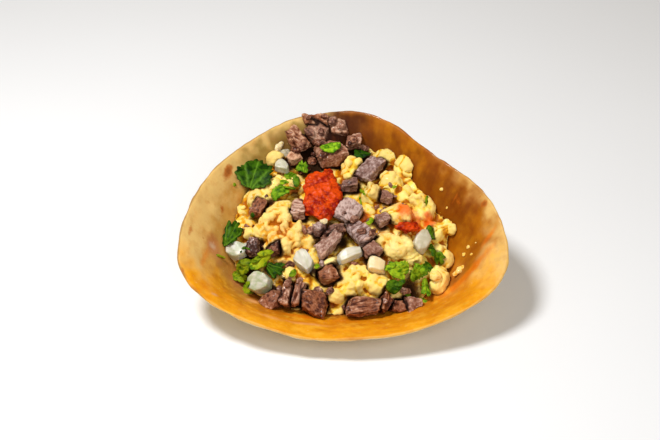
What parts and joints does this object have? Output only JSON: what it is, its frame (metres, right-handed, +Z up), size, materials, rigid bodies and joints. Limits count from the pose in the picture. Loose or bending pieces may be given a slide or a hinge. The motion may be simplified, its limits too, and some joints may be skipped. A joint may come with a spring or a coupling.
{
  "type": "breakfast taco",
  "caption": "Open taco: a soft flour tortilla cupped like a scoop round scrambled egg, diced beef, white onion, cilantro leaves and red salsa.",
  "frame": {"origin": "under the middle of the taco's bounding box, on the surface it rests on", "axes": "+X along the wide rim, to the right as seen from the low front lip; -Y towards the front lip; +Z up"},
  "size_m": [0.1588, 0.1334, 0.0548],
  "materials": {
    "tortilla": "soft baked flour dough, toasted spots, greasy at the front and right",
    "egg": "moist soft curds",
    "beef": "grilled, fibrous, moist",
    "onion": "wet and slightly translucent",
    "cilantro": "thin fresh leaf, satin",
    "salsa": "wet, chunky"
  },
  "bodies": {
    "root": {"tortilla": "tortilla", "scrambled_egg": "egg", "beef_01": "beef", "beef_02": "beef", "beef_03": "beef", "beef_04": "beef", "beef_05": "beef", "beef_06": "beef", "beef_07": "beef", "beef_08": "beef", "beef_09": "beef", "beef_10": "beef", "beef_11": "beef", "beef_12": "beef", "beef_13": "beef", "beef_14": "beef", "beef_15": "beef", "beef_16": "beef", "beef_17": "beef", "beef_18": "beef", "beef_19": "beef", "beef_20": "beef", "beef_21": "beef", "beef_22": "beef", "beef_23": "beef", "beef_24": "beef", "beef_25": "beef", "beef_26": "beef", "beef_27": "beef", "beef_28": "beef", "beef_29": "beef", "beef_30": "beef", "onion_01": "onion", "onion_02": "onion", "onion_03": "onion", "onion_04": "onion", "onion_05": "onion", "onion_06": "onion", "onion_07": "onion", "cilantro_01": "cilantro", "cilantro_02": "cilantro", "cilantro_03": "cilantro", "cilantro_04": "cilantro", "cilantro_05": "cilantro", "cilantro_06": "cilantro", "cilantro_07": "cilantro", "cilantro_08": "cilantro", "cilantro_09": "cilantro", "cilantro_10": "cilantro", "cilantro_11": "cilantro", "cilantro_12": "cilantro", "cilantro_13": "cilantro", "cilantro_14": "cilantro", "cilantro_15": "cilantro", "cilantro_16": "cilantro", "salsa_01": "salsa", "salsa_02": "salsa"}
  },
  "joints": []
}
